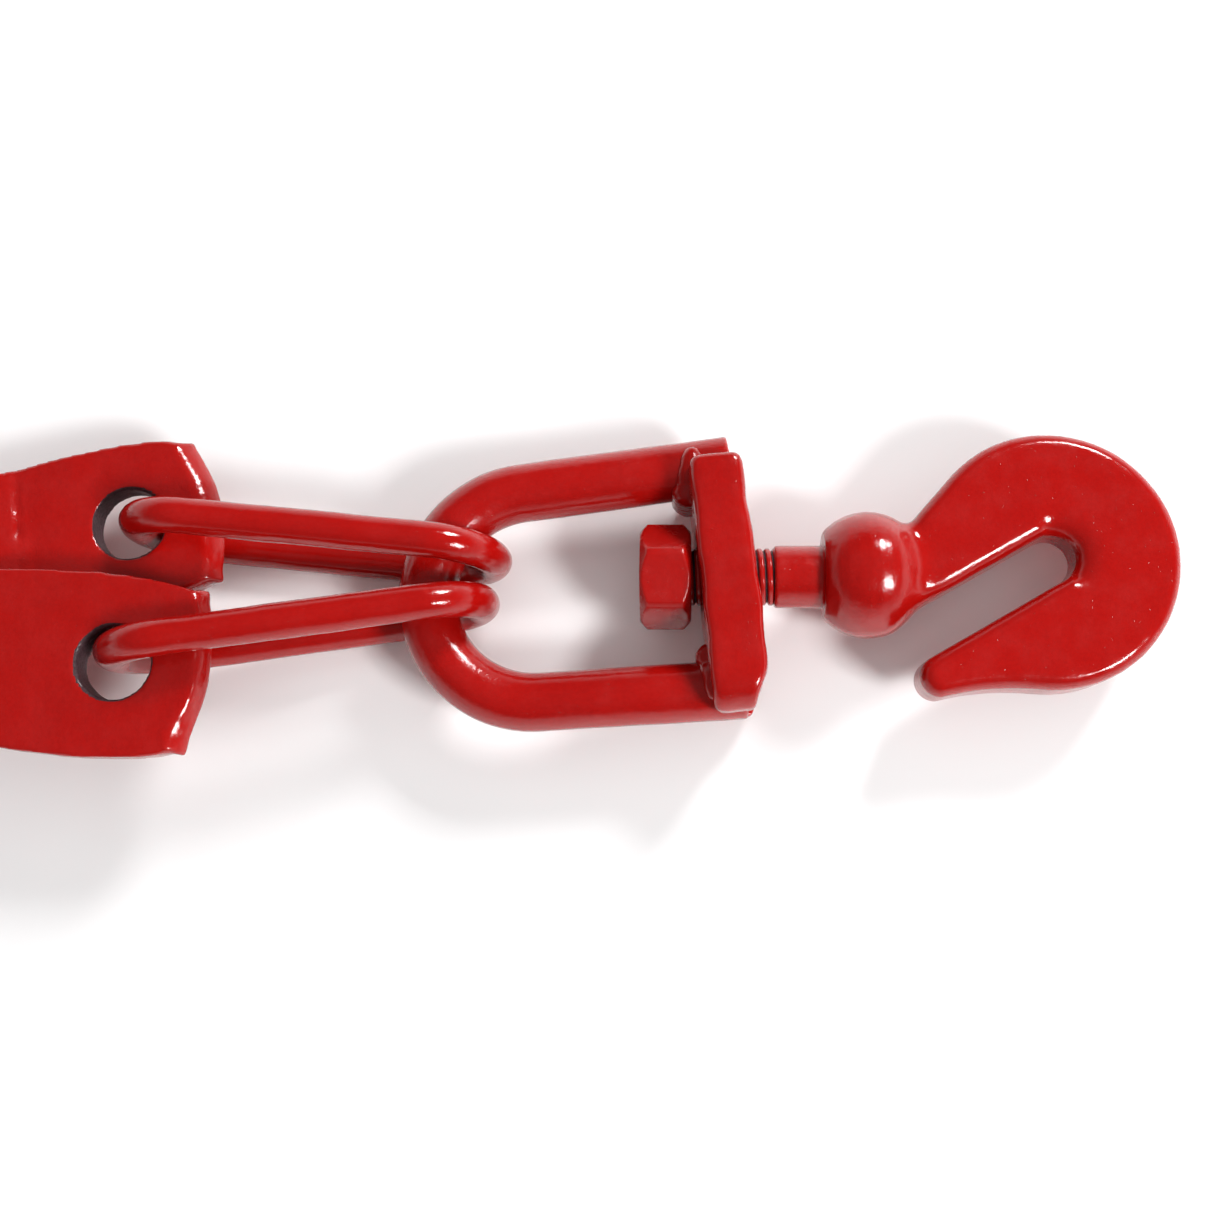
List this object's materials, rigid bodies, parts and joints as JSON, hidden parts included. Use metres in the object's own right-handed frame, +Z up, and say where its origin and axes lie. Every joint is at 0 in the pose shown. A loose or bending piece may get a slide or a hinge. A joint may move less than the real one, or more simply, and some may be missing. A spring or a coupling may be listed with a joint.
{
  "type": "log skidding tongs",
  "caption": "Log skidding tongs: crossing forged arms with claws and eyes, long links, a welded yoke and a swivelling grab hook for chain.",
  "frame": {"origin": "middle of the footprint of the closed tongs, on the surface they lie on", "axes": "+X along the tongs from the claws to the hook, +Z up out of the surface, +Y to the left of +X"},
  "size_m": [0.6842, 0.2174, 0.0586],
  "materials": {
    "arm_paint": "gloss red paint over forged steel, slightly uneven",
    "link_paint": "gloss red paint over drawn and bent wire",
    "yoke_paint": "gloss red paint over sheared plate and bar, with weld beads",
    "hook_paint": "gloss red paint over a forging",
    "fastener_paint": "thin red paint over steel fasteners"
  },
  "bodies": {
    "lower_arm": {"arm_rear": "arm_paint", "pivot_bolt": "fastener_paint", "pivot_washer_lower": "fastener_paint", "pivot_washer_upper": "fastener_paint", "pivot_nut": "fastener_paint"},
    "upper_arm": {"arm_front": "arm_paint"},
    "rear_link": {"link_rear": "link_paint"},
    "front_link": {"link_front": "link_paint"},
    "yoke": {"yoke_bar": "yoke_paint", "yoke_plate": "yoke_paint", "yoke_welds": "yoke_paint"},
    "hook": {"grab_hook": "hook_paint", "swivel_nut": "fastener_paint", "swivel_lock_weld": "fastener_paint"}
  },
  "joints": [
    {"name": "tongs_opening", "type": "hinge", "parent": "lower_arm", "child": "upper_arm", "pos_m": [-0.0413, 0.01615, 0.0242], "axis": [0, 0, -1], "range_deg": [0, 68]},
    {"name": "rear_link_swing", "type": "hinge", "parent": "lower_arm", "child": "rear_link", "pos_m": [0.0777, 0.04385, 0.02], "axis": [0, 0, -1], "range_deg": [0, 78]},
    {"name": "front_link_swing", "type": "hinge", "parent": "upper_arm", "child": "front_link", "pos_m": [0.07833, 0.00673, 0.024], "axis": [0, 0, 1], "range_deg": [0, 87]},
    {"name": "yoke_swing", "type": "hinge", "parent": "front_link", "child": "yoke", "pos_m": [0.16545, 0.02362, 0.02], "axis": [0, 0, -1], "range_deg": [0, 53]},
    {"name": "hook_swivel", "type": "hinge", "parent": "yoke", "child": "hook", "pos_m": [0.2332, 0.03065, 0.0192], "axis": [1, 0, 0], "continuous": true}
  ],
  "couplings": [
    {"joint": "rear_link_swing", "follows": "tongs_opening", "ratio": 1.144},
    {"joint": "front_link_swing", "follows": "tongs_opening", "ratio": 1.276},
    {"joint": "yoke_swing", "follows": "tongs_opening", "ratio": 0.776}
  ]
}
